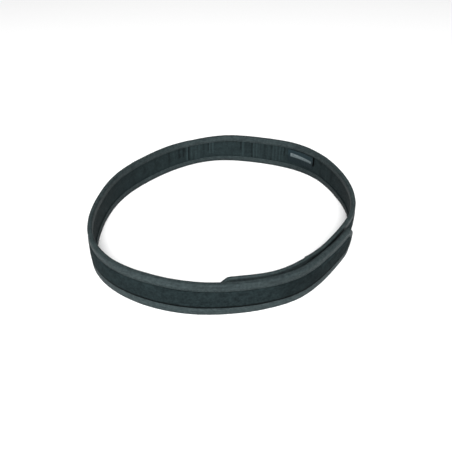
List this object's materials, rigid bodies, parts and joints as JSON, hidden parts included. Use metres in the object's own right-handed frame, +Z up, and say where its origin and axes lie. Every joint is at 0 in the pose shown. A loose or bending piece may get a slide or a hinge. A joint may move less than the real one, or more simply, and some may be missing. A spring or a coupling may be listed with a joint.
{
  "type": "hook-and-loop tactical inner belt, fastened in a loop and standing on its edge",
  "caption": "Stiff laminated webbing belt with loop-pile face, bound edges and clipped ends, closed in a near-round loop by hook and loop.",
  "frame": {"origin": "on the surface that the belt stands on, under the middle of the box round it", "axes": "+Z up across the strap's width, -Y towards the side where the tail end lies behind the outer end, +X towards the outer end's side"},
  "size_m": [0.3094, 0.3086, 0.038],
  "materials": {
    "webbing": "matte stiff webbing",
    "loop_pile": "matte loop pile",
    "lining_cloth": "matte woven",
    "hook_panel": "matte hook panel",
    "label_cloth": "satin woven label",
    "edge_tape": "ribbed tape with a faint sheen"
  },
  "bodies": {
    "root": {"webbing_core": "webbing", "loop_field": "loop_pile", "lining": "lining_cloth", "hook_patch": "hook_panel", "label": "label_cloth", "top_binding": "edge_tape", "bottom_binding": "edge_tape", "tail_end_binding": "edge_tape", "outer_end_binding": "edge_tape"}
  },
  "joints": []
}
